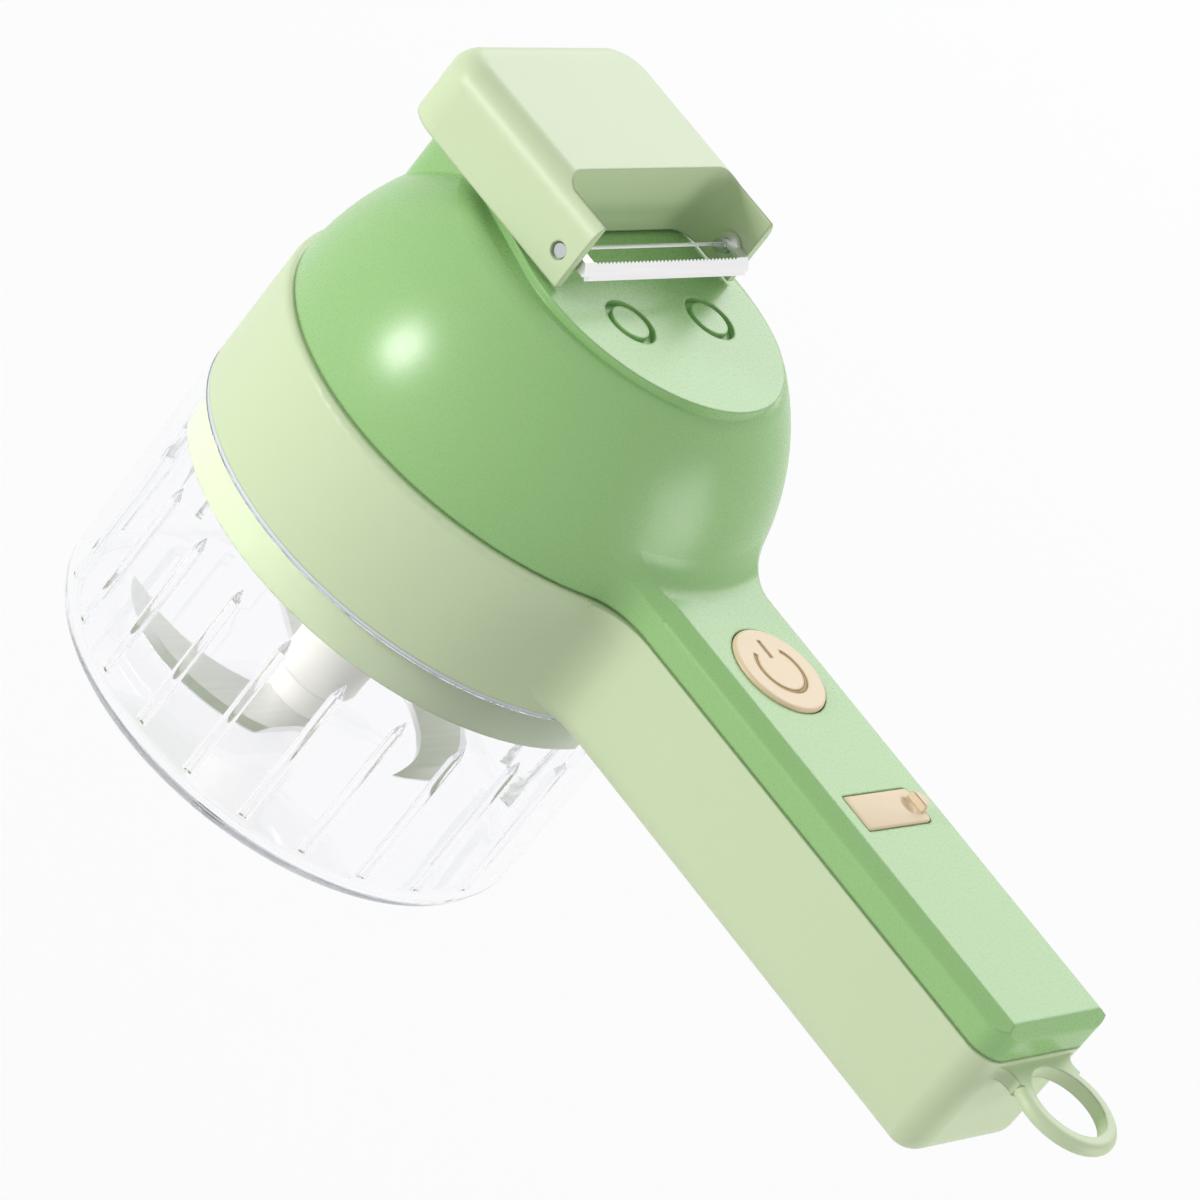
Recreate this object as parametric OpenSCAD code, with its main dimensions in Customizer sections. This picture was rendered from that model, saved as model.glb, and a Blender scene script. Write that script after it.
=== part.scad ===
// Handheld electric vegetable cutter: a clear chopping cup under a domed motor head,
// a handle with the battery and the power button, and a lift-off swivel peeler on top.
// Millimetres. Origin at the centre of the cup's base, +X along the handle, +Z up.

/* [Cup] */
// Radius of the cup at its rim and of the collar above it
cup_r = 46; // [45:0.5:50]
// Height of the cup from its base to its rim
cup_h = 48; // [46:1:64]
// Thickness of the cup's wall
cup_wall = 2.4; // [1.8:0.1:2.8]
// Thickness of the cup's floor
cup_floor = 2.4; // [2:0.1:4]
// Radius of the round edge under the cup
cup_corner = 5; // [4:0.5:7]
// How much narrower the cup is at its base than at its rim
cup_draft = 0.5; // [0:0.1:1]
// Number of crushing ribs inside the cup
rib_count = 24; // [12:1:30]
// Radius of each half-round rib
rib_r = 1.1; // [0.7:0.1:1.4]
// How far the ribs' pointed tops stay below the neck
rib_drop = 3.9; // [2:0.1:8]
// Turn of the first rib from the handle, in degrees
rib_phase = 2.5; // [0:0.5:14]

/* [Chopping blades] */
// Radius of the upper tier of the blade hub
hub_r = 7.3; // [6.8:0.1:8]
// Radius of the lower tier of the blade hub
hub_low_r = 6.4; // [5.8:0.1:6.7]
// Height of the lower tier of the blade hub
hub_low_h = 8.2; // [7:0.1:9]
// Radius that the blade tips sweep
blade_reach = 34.5; // [30:0.5:38]
// Thickness of each blade
blade_t = 1.2; // [0.8:0.1:1.5]
// Width of the ground bevel on the leading edge
blade_bevel = 1.7; // [1:0.1:2.5]
// Height of the lowest blade above the hub's underside
blade_low = 2.3; // [1.5:0.1:4]
// Height from one blade to the next
blade_step = 7.7; // [7:0.1:9]
// Radius of the leading edge's sweep
edge_r = 22.5; // [21.5:0.5:24]
// Radius of the back edge's sweep
back_r = 20; // [19:0.5:20.5]
// Radius of the steel pin that the hub turns on
pin_r = 2; // [1.5:0.1:2.2]
// Width across the flats of the hexagonal drive
drive_af = 8; // [6.5:0.1:8.6]

/* [Head] */
// Height of the collar and its seam above the cup's rim
collar_h = 24.3; // [23:0.1:30]
// Thickness of the moulded shells
wall = 2.2; // [1.8:0.1:2.5]
// How far the neck reaches down into the cup
neck_depth = 7.5; // [5:0.1:10]
// How far the dome stands back from the collar
dome_step = 1.15; // [0.8:0.05:2]
// Depth of the dome's centre below the seam
dome_sink = 2; // [0:0.1:4]
// Height of the flat seat above the seam
seat_h = 32.2; // [31.5:0.1:34]
// Radius of the round seat on top of the dome
seat_r = 26.5; // [25:0.1:27.5]
// Distance of the seat's centre from the blade axis
seat_x = 4.3; // [3:0.1:5]
// Height of the accessory block above the seat
block_h = 8.5; // [7:0.1:9.5]
// Width of the accessory block
block_w = 31; // [26:0.5:34]

/* [Handle] */
// Distance of the handle's end from the blade axis
handle_end = 140; // [137:1:160]
// Width of the handle
handle_w = 31; // [30.5:0.5:34]
// Height of the handle's underside above the collar's lower edge
handle_rise = 0; // [0:0.1:2.4]
// Height of the handle's upper shell
upper_h = 7; // [6:0.1:9]
// Radius of the lower shell's long edges
lower_round = 5; // [4:0.1:8]
// Width of the slope along the upper shell's edges
slope_w = 3; // [2:0.1:4]
// Height of the slope along the upper shell's edges
slope_h = 1.9; // [1:0.1:2.5]
// Radius of the hollow corners where the handle leaves the head
root_r = 11; // [7:0.5:12]
// Radius of the eye in the hanging loop
loop_eye_r = 7.3; // [6:0.1:8]
// Thickness of the hanging loop
loop_t = 2.6; // [2.5:0.1:4]

/* [Controls] */
// Distance of the power button from the blade axis
button_x = 64; // [62:0.5:68]
// Radius of the power button
button_r = 9; // [8:0.1:9.4]
// Travel of the power button
button_travel = 1.2; // [0.8:0.1:1.3]
// Distance of the charging cover from the blade axis
cover_x = 93.9; // [88:0.1:96]
// Width of the charging cover along the handle
cover_w = 7; // [6:0.1:8]
// Length of the charging cover across the handle
cover_l = 17.4; // [15:0.1:18]
// Thickness of the charging cover
cover_t = 1.4; // [1.2:0.1:1.6]

/* [Peeler] */
// Length of the peeler head
peeler_l = 42.8; // [38:0.1:44]
// Width of the peeler head
peeler_w = 49; // [46:0.5:54]
// Height of the peeler head
peeler_h = 14.2; // [13.6:0.1:17]
// Thickness of the peeler head's walls
peeler_wall = 1.6; // [1.5:0.1:2.8]
// Length of the arms in front of the top plate
arm_l = 12.1; // [11:0.1:14]
// Radius of the peeler head's upper edges
peeler_round = 4.5; // [3:0.1:5]
// Height of the blade's pivot above the seat
pivot_h = 5.3; // [5:0.1:6]
// Radius of the blade's pivot pins
pivot_r = 1.2; // [1:0.05:1.3]
// Width of the slot between the two edges of the peeler blade
slot_w = 3.6; // [3:0.1:4]

/* [Drive] */
// Module of the gear teeth
gear_module = 0.5; // [0.45:0.01:0.52]
// Teeth on the motor's pinion
sun_teeth = 18; // [18:6:18]
// Teeth on each planet gear
planet_teeth = 18; // [18:6:18]
// Width of the gears
gear_w = 5.6; // [4:0.1:6.5]
// Radius of the output shaft
shaft_r = 3; // [2.5:0.1:3.2]
// Radius of the motor
motor_r = 12.2; // [10:0.1:12.2]
// Length of the motor
motor_l = 30.5; // [27:0.5:31]
// Diameter of the battery cell
cell_d = 14.2; // [13:0.1:14.5]
// Length of the battery cell
cell_l = 49; // [44:0.5:50]

/* [Hidden] */
$fn = 96;

// Clearances
push_gap = 0.3;
run_gap = 0.4;
fit_gap = 0.03;
shaft_gap = 0.05;
seat_gap = 0.1;
button_gap = 0.25;
cover_gap = 0.3;
cut = 1;
tuck = 0.02;

// Colours
pale_green = [0.84, 0.90, 0.75];
mid_green = [0.58, 0.80, 0.51];
peach = [0.97, 0.85, 0.70];
off_white = [0.93, 0.92, 0.88];
steel = [0.75, 0.76, 0.78];
clear = [0.85, 0.90, 0.95, 0.35];
brass = [0.80, 0.65, 0.35];
rubber = [0.80, 0.84, 0.92];
black = [0.15, 0.15, 0.16];

// Levels of the cup and the head
gasket_t = 0.8;
cup_base_r = cup_r - cup_draft;
collar_z = cup_h + seat_gap + gasket_t;
plate_t = 2.4;
plate_z = collar_z - plate_t;
ledge_t = 2.4;
ledge_w = 8.3;
neck_z = cup_h - neck_depth;
neck_r = cup_r - cup_wall - push_gap;
skirt_t = 2;
lip_r = 1.2;
base_screw_count = 4;
base_screw_r = 1.1;
base_screw_at = neck_r - skirt_t - 2.7;
base_head_r = 1.9;
base_head_h = 1.3;
base_boss_r = 2.4;
base_boss_h = 6;
base_pilot_end = 1;
seam_z = cup_h + collar_h;
seam_groove = 0.5;
seam_depth = 0.7;
dome_r = cup_r - dome_step;
dome_z = seam_z - dome_sink;
seat_z = seam_z + seat_h;
seat_t = 2.5;
seat_step = 1.5;
shoulder_r = 5;

// Levels of the handle
handle_hw = handle_w / 2;
handle_z = collar_z + handle_rise;
handle_top = seam_z + upper_h;
side_top = handle_top - slope_h;
handle_floor = handle_z + wall;
handle_start = cup_r - wall - 6;
end_round = lower_round;
crease_r = 1;
end_slope = 2;
dome_fillet = 6;
slope_turn = atan2(slope_h, slope_w);
slope_away = handle_hw * sin(slope_turn) + (side_top - dome_z) * cos(slope_turn);
loop_band = 2.6;
loop_r = loop_eye_r + loop_band;
loop_x = handle_end + loop_eye_r + loop_band / 2;
loop_z = seam_z - 1 - loop_t;
loop_fillet = 2.5;

// Accessory seat: the tail behind the round seat ends in two round corners
tail_r = 6;
tail_x = -32.5;
tail_y = 10.2;
peeler_front = 2.3;
peeler_back = peeler_front - peeler_l;
peeler_hw = peeler_w / 2;
peeler_z = seat_z + 0.6;
peeler_top = peeler_z + peeler_h;
peeler_corner = 8;
notch_x = peeler_front - arm_l;
notch_r = 4;
block_hw = block_w / 2;
block_top_hw = 4.6;
block_shoulder = 4.1;
block_front = notch_x - peeler_wall - 0.6;
block_back = tail_x - 0.4 * tail_r;
web_t = 2;
web_y = 2.5;
pivot_x = -1.3;
lug_t = 0.9;
lug_w = 1.1;
sheet_t = 0.6;
strip_w = 2.1;
slot_ahead = 2.3;
slot_above = 1.3;
slot_end = 2.4;
edge_grind = 0.25;
tip_cut = 1.4;
tooth_pitch = 1;
tooth_cut = 0.55;
pivot_z = seat_z + pivot_h;

// Chopping blades
hub_z = cup_floor + run_gap;
hub_top = collar_z - 6;
blade_z = hub_z + blade_low;
blade_root_r = 3.4;
edge_x = -11.5;
edge_y = -4;
back_x = -21;
back_y = 0.5;
edge_t = 0.3;
pin_sunk = 1.4;
pin_up = 7;
socket_depth = 9.5;
drive_r = drive_af / sqrt(3);

// Gear train: sun on the motor, three planets on the carrier, ring in the case
planet_count = 3;
ring_teeth = sun_teeth + 2 * planet_teeth;
planet_orbit = gear_module * (sun_teeth + planet_teeth) / 2;
pressure = 20;
tooth_add = 0.9;
tooth_ded = 1.2;
backlash = 0.09;
ring_rim = 4;
case_r = gear_module * ring_teeth / 2 + ring_rim;
case_base = 4;
seal_t = 1.8;
seal_w = 3;
carrier_t = 3;
carrier_r = gear_module * (ring_teeth / 2 - tooth_add) - 0.9;
carrier_pocket = carrier_r + 0.5;
planet_pin_r = 1.25;
carrier_z = collar_z + case_base + run_gap;
gear_z = carrier_z + carrier_t + run_gap;
gear_top = gear_z + gear_w;
motor_plate_z = gear_top + run_gap + 0.2;
motor_plate_t = 2;
motor_z = motor_plate_z + motor_plate_t;
motor_cap_l = 4;
can_top = motor_z + motor_l - motor_cap_l;
can_wall = 1;
can_floor = 2;
magnet_t = 1.8;
magnet_gap = 6;
magnet_l = 18;
air_gap = 0.5;
pole_count = 5;
pole_slot = 1.6;
pole_depth = 3;
terminal_x = 7;
terminal_w = 3;
terminal_t = 0.6;
terminal_up = 2.5;
motor_boss_r = 5;
motor_shaft_r = 1;
motor_screw_r = 1;
motor_screw_at = 8;
motor_screw_in = 1.8;
bush_r = 5;
tie_r = 3.2;
tie_at = case_r + 2;
tie_boss_h = 6;
tie_screw_r = 1.2;
tie_head_r = 2.4;
tie_head_h = 1.8;
tie_pilot = 0.8;

// Screws under the seat that clamp the motor, and the plugs over them
plug_x = 9.9;
plug_y = 10.9;
plug_pocket_r = 4.9;
plug_top_r = 3.6;
plug_depth = 2;
plug_rim = 0.9;
clamp_screw_r = 1;
clamp_head_r = 2.4;
clamp_head_h = 1.8;
clamp_floor = 2.5;
clamp_boss_r = 4.2;
clamp_boss_z = seat_z - plug_depth - clamp_head_h - 0.8 - clamp_floor;
clamp_h = 5;
clamp_screw_in = 6;
clamp_wall = 1.9;
clamp_ear_r = 2.2;

// Handle's inside
board_t = 1.2;
board_z = seam_z - 2;
board_top = board_z + board_t;
board_start = 54;
board_end = 104;
board_hw = handle_hw - wall - run_gap;
post_r = 2.2;
post_y = board_hw - 1.7;
post_inset = 4;
board_screw_r = 0.8;
board_screw_in = 5;
board_head_r = 1.6;
board_head_h = 1.1;
holder_wall = 1.3;
holder_floor = 0.3;
cell_r = cell_d / 2;
cell_start = 72;
cell_z = handle_floor + holder_floor + cell_r;
contact_t = 0.5;
holder_end = 2;
screw_spots = [[50, 9], [50, -9], [130, 0]];
boss_r = 3.2;
case_screw_r = 1.2;
case_head_r = 2.6;
case_head_h = 2;
case_head_sunk = 6;
case_screw_l = 21.4;
button_proud = 0.6;
sign_r = 4.9;
sign_line = 0.8;
sign_depth = 0.4;
sign_gap = 42;
sign_bar_l = 3.8;
sign_bar_out = 1.4;
button_flange = 1.1;
button_flange_t = 1;
stem_r = 2;
plunger_r = 1.6;
switch_w = 6.2;
switch_h = 2.6;
cover_y = -0.7;
cover_proud = 0.3;
cover_round = 1;
cover_hinge_y = cover_y - cover_l / 2 + cover_t / 2;
cover_z = handle_top + cover_proud - cover_t / 2;
pocket_z = handle_top + cover_proud - cover_t - cover_gap / 2;
tab_w = 4.2;
tab_l = 6;
tab_over = 3;
tab_t = 1.3;
socket_l = 9.2;
socket_w = 3.4;
socket_wall = 0.4;
socket_tongue = 0.7;
tongue_l = 5.6;

function unit(v) = v / norm(v);
function previous(points, i) = points[(i + len(points) - 1) % len(points)];
function next(points, i) = points[(i + 1) % len(points)];
// Half of the angle at a corner of an outline
function half_angle(points, i) =
    acos(unit(previous(points, i) - points[i]) * unit(next(points, i) - points[i])) / 2;
function corner_cut(points, i, r) = r / tan(half_angle(points, i));
function corner_centre(points, i, r) =
    let (a = unit(previous(points, i) - points[i]), b = unit(next(points, i) - points[i]))
    points[i] + unit(a + b) * r / sin(half_angle(points, i));

// A convex outline with a true arc of the given radius at each corner
module rounded(points, radii) {
    polygon([
        for (i = [0 : len(points) - 1])
        for (toward = radii[i] > 0 ? [previous(points, i), next(points, i)] : [points[i]])
        radii[i] > 0
            ? points[i] + unit(toward - points[i]) * corner_cut(points, i, radii[i])
            : points[i]
    ]);
    for (i = [0 : len(points) - 1])
        if (radii[i] > 0) translate(corner_centre(points, i, radii[i])) circle(radii[i]);
}

// Extrudes an outline drawn in Y and Z along X, between two places
module along_x(x0, x1) {
    translate([x0, 0, 0]) rotate([90, 0, 90]) linear_extrude(x1 - x0) children();
}

// Extrudes an outline drawn in X and Z along Y, over a width centred on the axis
module along_y(half_width) {
    translate([0, half_width, 0]) rotate([90, 0, 0]) linear_extrude(2 * half_width) children();
}

module raised(z0, z1) {
    translate([0, 0, z0]) linear_extrude(z1 - z0) children();
}

module disc(r, z0, z1) {
    translate([0, 0, z0]) cylinder(r = r, h = z1 - z0);
}

module both_sides() {
    children();
    mirror([0, 1, 0]) children();
}

module round_copies(count, radius, first = 0) {
    for (i = [0 : count - 1]) rotate(first + i * 360 / count) translate([radius, 0, 0]) children();
}

// Cup

module clear_cup() {
    inner_corner = cup_corner - cup_wall;
    rib_at = cup_base_r - cup_wall;
    rib_z = cup_corner + rib_r / 2;
    tip_h = 2.8 * rib_r;
    outside = [[0, 0], [cup_base_r, 0], [cup_r, cup_h], [0, cup_h]];
    inside = [[0, cup_floor], [cup_base_r - cup_wall, cup_floor], [cup_r - cup_wall, cup_h + cut],
        [0, cup_h + cut]];
    color(clear) difference() {
        union() {
            rotate_extrude() difference() {
                rounded(outside, [0, cup_corner, 0, 0]);
                rounded(inside, [0, inner_corner, 0, 0]);
            }
            round_copies(rib_count, rib_at, rib_phase) {
                disc(rib_r, rib_z, neck_z - rib_drop - tip_h);
                translate([0, 0, neck_z - rib_drop - tip_h]) cylinder(r1 = rib_r, r2 = 0.15, h = tip_h);
            }
        }
        disc(pin_r, cup_floor - pin_sunk, cup_floor + cut);
    }
}

module blade_pin() {
    color(steel) disc(pin_r, cup_floor - pin_sunk, hub_z + pin_up);
}

// Chopping blades

// Sickle outline of one blade, from its root at the hub to its blunt tip
module blade_outline() {
    intersection() {
        difference() {
            translate([edge_x, edge_y]) circle(edge_r);
            translate([back_x, back_y]) circle(back_r);
            circle(blade_root_r);
        }
        circle(blade_reach);
        translate([-2 * blade_reach, -2 * blade_reach])
            square([2 * blade_reach + hub_low_r, 2 * blade_reach]);
    }
}

module blade() {
    difference() {
        linear_extrude(blade_t) blade_outline();
        translate([edge_x, edge_y]) rotate_extrude() polygon([
            [edge_r - blade_bevel, blade_t], [edge_r, edge_t], [edge_r + cut, edge_t],
            [edge_r + cut, blade_t + cut], [edge_r - blade_bevel, blade_t + cut]
        ]);
    }
}

// Puts a blade at its height and turn round the hub, lowest first
module blade_place(order) {
    translate([0, 0, blade_z + order * blade_step]) rotate(-120 * order) children();
}

module lower_blade() { color(steel) blade_place(0) blade(); }
module middle_blade() { color(steel) blade_place(1) blade(); }
module upper_blade() { color(steel) blade_place(2) blade(); }

module blade_hub() {
    tier = [[0, hub_z + hub_low_h], [hub_r, hub_z + hub_low_h], [hub_r, hub_top], [0, hub_top]];
    foot = [[0, hub_z], [hub_low_r, hub_z], [hub_low_r, hub_z + hub_low_h + cut],
        [0, hub_z + hub_low_h + cut]];
    color(off_white) difference() {
        rotate_extrude() {
            rounded(tier, [0, 1, 0.8, 0]);
            rounded(foot, [0, 1, 0, 0]);
        }
        disc(pin_r + shaft_gap, hub_z - cut, hub_z + pin_up + run_gap);
        translate([0, 0, hub_top - socket_depth])
            cylinder(r = drive_r + push_gap, h = socket_depth + cut, $fn = 6);
        for (order = [0 : 2]) blade_place(order) blade();
    }
}

// Housings

// Region between the round head and the handle's side, with a hollow corner
module root_corner(drum_r, side_y, corner_r) {
    cx = sqrt(pow(drum_r + corner_r, 2) - pow(side_y + corner_r, 2));
    cy = side_y + corner_r;
    share = drum_r / (drum_r + corner_r);
    difference() {
        polygon([[0, 0], [cx * share, cy * share], [cx, cy], [cx, 0]]);
        translate([cx, cy]) circle(corner_r);
    }
}

// Plan of the handle with round end corners, drawn back into the head
module handle_plan(inset) {
    y = handle_hw - inset;
    x = handle_end - inset;
    rounded([[0, -y], [x, -y], [x, y], [0, y]], [0, end_round - inset, end_round - inset, 0]);
}

// Lower shell of the handle, thinner all round by an inset
module lower_handle(inset, start, top) {
    y = handle_hw - inset;
    z = handle_z + inset;
    r = lower_round - inset;
    x_end = handle_end - inset;
    intersection() {
        along_x(start, handle_end) rounded([[-y, top], [-y, z], [y, z], [y, top]], [0, r, r, 0]);
        raised(handle_z, top + cut) handle_plan(inset);
        along_y(handle_hw)
            rounded([[0, z], [x_end, z], [x_end, top], [0, top]], [0, r, 0, 0]);
    }
}

// What the ball-round corner at the handle's lower end takes off
module end_corner_cut() {
    r = lower_round + tuck;
    z = handle_z - tuck;
    top = seam_z + 2 * cut;
    translate([handle_end - lower_round, handle_hw - lower_round, 0]) difference() {
        translate([0, 0, z - cut]) cube([r + cut, r + cut, seam_z - z + 2 * cut]);
        rotate_extrude() intersection() {
            rounded([[-r, z], [r, z], [r, top], [-r, top]], [0, r, 0, 0]);
            translate([0, z]) square([r, top - z]);
        }
    }
}

// Hollow corner between the collar and the handle's side, with the handle's round lower edge
module lower_root() {
    cx = sqrt(pow(cup_r + root_r, 2) - pow(handle_hw + root_r, 2));
    cy = handle_hw + root_r;
    share = cup_r / (cup_r + root_r);
    far = 2 * cup_r;
    intersection() {
        raised(handle_z, seam_z) polygon([[0, 0], [cx * share, cy * share], [cx, cy], [cx, 0]]);
        translate([cx, cy, 0]) rotate_extrude() rounded(
            [[root_r, handle_z], [far, handle_z], [far, seam_z + cut], [root_r, seam_z + cut]],
            [lower_round, 0, 0, 0]);
    }
}

module hanging_loop() {
    meet_x = handle_end + loop_fillet;
    meet_y = sqrt(pow(loop_r + loop_fillet, 2) - pow(loop_x - meet_x, 2));
    share = loop_r / (loop_r + loop_fillet);
    difference() {
        union() {
            translate([loop_x, 0, loop_z]) rotate_extrude() {
                translate([loop_eye_r, 0]) square([loop_band - loop_t / 2, loop_t]);
                translate([loop_r - loop_t / 2, loop_t / 2]) circle(loop_t / 2);
            }
            both_sides() raised(loop_z, loop_z + loop_t) difference() {
                polygon([
                    [handle_end - wall / 2, 0], [loop_x, 0],
                    [loop_x + (meet_x - loop_x) * share, meet_y * share], [meet_x, meet_y],
                    [handle_end - wall / 2, meet_y]
                ]);
                translate([meet_x, meet_y]) circle(loop_fillet);
            }
        }
        translate([loop_x, 0, 0]) disc(loop_eye_r, loop_z - cut, loop_z + loop_t + cut);
    }
}

module at_screws() {
    for (spot = screw_spots) translate([spot[0], spot[1], 0]) children();
}

module at_posts() {
    for (x = [board_start + post_inset, board_end - post_inset], y = [-post_y, post_y])
        translate([x, y, 0]) children();
}

module lower_housing() {
    collar_top = [cup_r - lip_r, seam_z - lip_r];
    color(pale_green) difference() {
        union() {
            difference() {
                union() {
                    rotate_extrude() difference() {
                        translate([0, collar_z]) square([cup_r, seam_z - collar_z]);
                        difference() {
                            translate(collar_top) square(lip_r + cut);
                            translate(collar_top) circle(lip_r);
                        }
                    }
                    difference() {
                        lower_handle(0, handle_start, seam_z);
                        both_sides() end_corner_cut();
                    }
                    both_sides() lower_root();
                }
                disc(cup_r - wall, collar_z + ledge_t, seam_z + cut);
                disc(cup_r - wall - ledge_w, collar_z - cut, seam_z);
                lower_handle(wall, handle_start - cut, seam_z + cut);
            }
            hanging_loop();
            round_copies(base_screw_count, base_screw_at) disc(base_boss_r, collar_z, collar_z + base_boss_h);
            intersection() {
                union() {
                    at_screws() disc(boss_r, handle_z, seam_z);
                    at_posts() disc(post_r, handle_z + wall / 2, board_z);
                }
                lower_handle(wall / 2, handle_start, seam_z);
            }
        }
        round_copies(base_screw_count, base_screw_at)
            disc(base_screw_r + fit_gap, collar_z - cut, collar_z + base_boss_h - base_pilot_end);
        at_screws() {
            disc(case_screw_r + fit_gap, handle_z - cut, seam_z + cut);
            disc(case_head_r + fit_gap, handle_z - cut, handle_z + case_head_sunk);
        }
        at_posts() disc(board_screw_r + fit_gap, board_z - board_screw_in - 1, board_z + cut);
    }
}

// Plate with the neck that goes into the cup: it closes the collar and carries the gear case
module base_plate() {
    color(pale_green) difference() {
        union() {
            disc(neck_r, neck_z, collar_z);
            round_copies(planet_count, tie_at, 180) disc(tie_r, plate_z, collar_z + tie_boss_h);
        }
        disc(neck_r - skirt_t, neck_z - cut, plate_z);
        disc(bush_r + fit_gap, neck_z, collar_z + cut);
        round_copies(planet_count, tie_at, 180)
            disc(tie_screw_r + fit_gap, collar_z + tie_pilot, collar_z + tie_boss_h + cut);
        round_copies(base_screw_count, base_screw_at) disc(base_screw_r + push_gap, neck_z, collar_z + cut);
    }
}

module base_screws() {
    color(steel) round_copies(base_screw_count, base_screw_at) {
        disc(base_head_r, plate_z - base_head_h, plate_z);
        disc(base_screw_r, plate_z, collar_z + base_boss_h - base_pilot_end - push_gap);
    }
}

// Places on the seat's outline where a straight side leaves the round seat for the tail
function tail_turn() =
    atan2(tail_y, tail_x - seat_x) - acos((seat_r - tail_r) / norm([tail_x - seat_x, tail_y]));
function tail_normal() = [cos(tail_turn()), sin(tail_turn())];

// Plan of the seat: a disc with a tail that carries the back of the accessory
module seat_plan() {
    on_seat = [seat_x, 0] + (seat_r - tuck) * tail_normal();
    on_tail = [tail_x, tail_y] + (tail_r - tuck) * tail_normal();
    translate([seat_x, 0]) circle(seat_r);
    both_sides() {
        polygon([[seat_x, 0], on_seat, on_tail, [tail_x, tail_y], [tail_x, 0]]);
        translate([tail_x, tail_y]) circle(tail_r);
    }
    translate([tail_x - tail_r + tuck, -tail_y]) square([tail_r, 2 * tail_y]);
}

// Upper shell of the handle with sloping long edges and a sloping end
module upper_handle(inset, start, base, edge_r) {
    y = handle_hw - inset;
    x = handle_end - inset;
    s = side_top - inset * 0.6;
    t = handle_top - inset;
    intersection() {
        along_x(start, x) rounded(
            [[-y, base], [-y, s], [slope_w - y, t], [y - slope_w, t], [y, s], [y, base]],
            [0, edge_r, edge_r, edge_r, edge_r, 0]);
        along_y(handle_hw) rounded([[0, base], [x, base], [x, s], [x - end_slope, t], [0, t]],
            [0, 0, edge_r, edge_r, 0]);
        raised(base, handle_top + cut) handle_plan(inset);
    }
}

// Room above a plane at a distance from the dome's centre, with a round lower corner that meets the dome
module dome_hollow(turn, away, corner_r, sink) {
    ball_r = dome_r - sink;
    cx = sqrt(pow(ball_r + corner_r, 2) - pow(away + corner_r, 2));
    cy = away + corner_r;
    share = ball_r / (ball_r + corner_r);
    far = handle_end;
    translate([0, 0, dome_z]) rotate([-turn, 0, 0]) rotate([0, 0, 180]) rotate_extrude() {
        polygon([[0, cy * share], [cx * share, cy * share], [cx, cy], [cx, far], [0, far]]);
        translate([cx, cy]) circle(corner_r);
        translate([cx, away]) square([far - cx, far - away]);
    }
}

// Root of the handle's upper half: its side, slope and top each run into the dome
module upper_root() {
    base = seam_z + seam_groove;
    end_x = sqrt(pow(dome_r + root_r, 2) - pow(slope_away + root_r, 2));
    difference() {
        translate([handle_start, 0, base])
            cube([end_x - handle_start, handle_hw + root_r, handle_top + dome_fillet - base]);
        dome_hollow(90, handle_hw, root_r, 0);
        dome_hollow(slope_turn, slope_away, root_r, 0);
        dome_hollow(0, handle_top - dome_z, dome_fillet, tuck);
    }
}

// Outline of half of the dome, with a round shoulder up to the flat that the seat stands on
module dome_outline() {
    flat_z = seat_z - seat_step;
    low = [0, dome_z];
    lift = flat_z - shoulder_r - dome_z;
    middle = [sqrt(pow(dome_r - shoulder_r, 2) - pow(lift, 2)), dome_z + lift];
    outward = unit(middle - low);
    difference() {
        translate(low) circle(dome_r);
        polygon([[0, middle[1]], middle, middle + outward * dome_r, [0, seat_z + dome_r]]);
        translate([-dome_r - cut, 0]) square([dome_r + cut, 2 * seat_z]);
        square([2 * dome_r, seam_z + seam_groove]);
    }
    translate(middle) circle(shoulder_r);
    translate([0, middle[1]]) square([middle[0], shoulder_r]);
}

module accessory_block() {
    shoulder = seat_z + block_shoulder;
    top = seat_z + block_h;
    base = seat_z - cut;
    along_x(block_back, block_front) rounded([
        [-block_hw, base], [-block_hw, shoulder], [-block_top_hw, top],
        [block_top_hw, top], [block_hw, shoulder], [block_hw, base]
    ], [0, 1, 1, 1, 1, 0]);
}

module at_plugs() {
    both_sides() translate([plug_x, plug_y, 0]) children();
}

module charging_pocket() {
    y = cover_l / 2 + cover_gap;
    x = cover_w / 2 + cover_gap;
    r = cover_round + cover_gap;
    translate([cover_x, cover_y, 0]) {
        raised(pocket_z, handle_top + cut) rounded([[-x, -y], [x, -y], [x, y], [-x, y]],
            [cover_gap, cover_gap, r, r]);
        raised(board_top, handle_top) charging_port(push_gap);
    }
}

// Round-ended outline of the charging socket, across the handle
module charging_port(grow) {
    r = socket_w / 2 + grow;
    half = socket_l / 2 - socket_w / 2;
    translate([-r, -half]) square([2 * r, 2 * half]);
    both_sides() translate([0, half]) circle(r);
}

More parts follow.
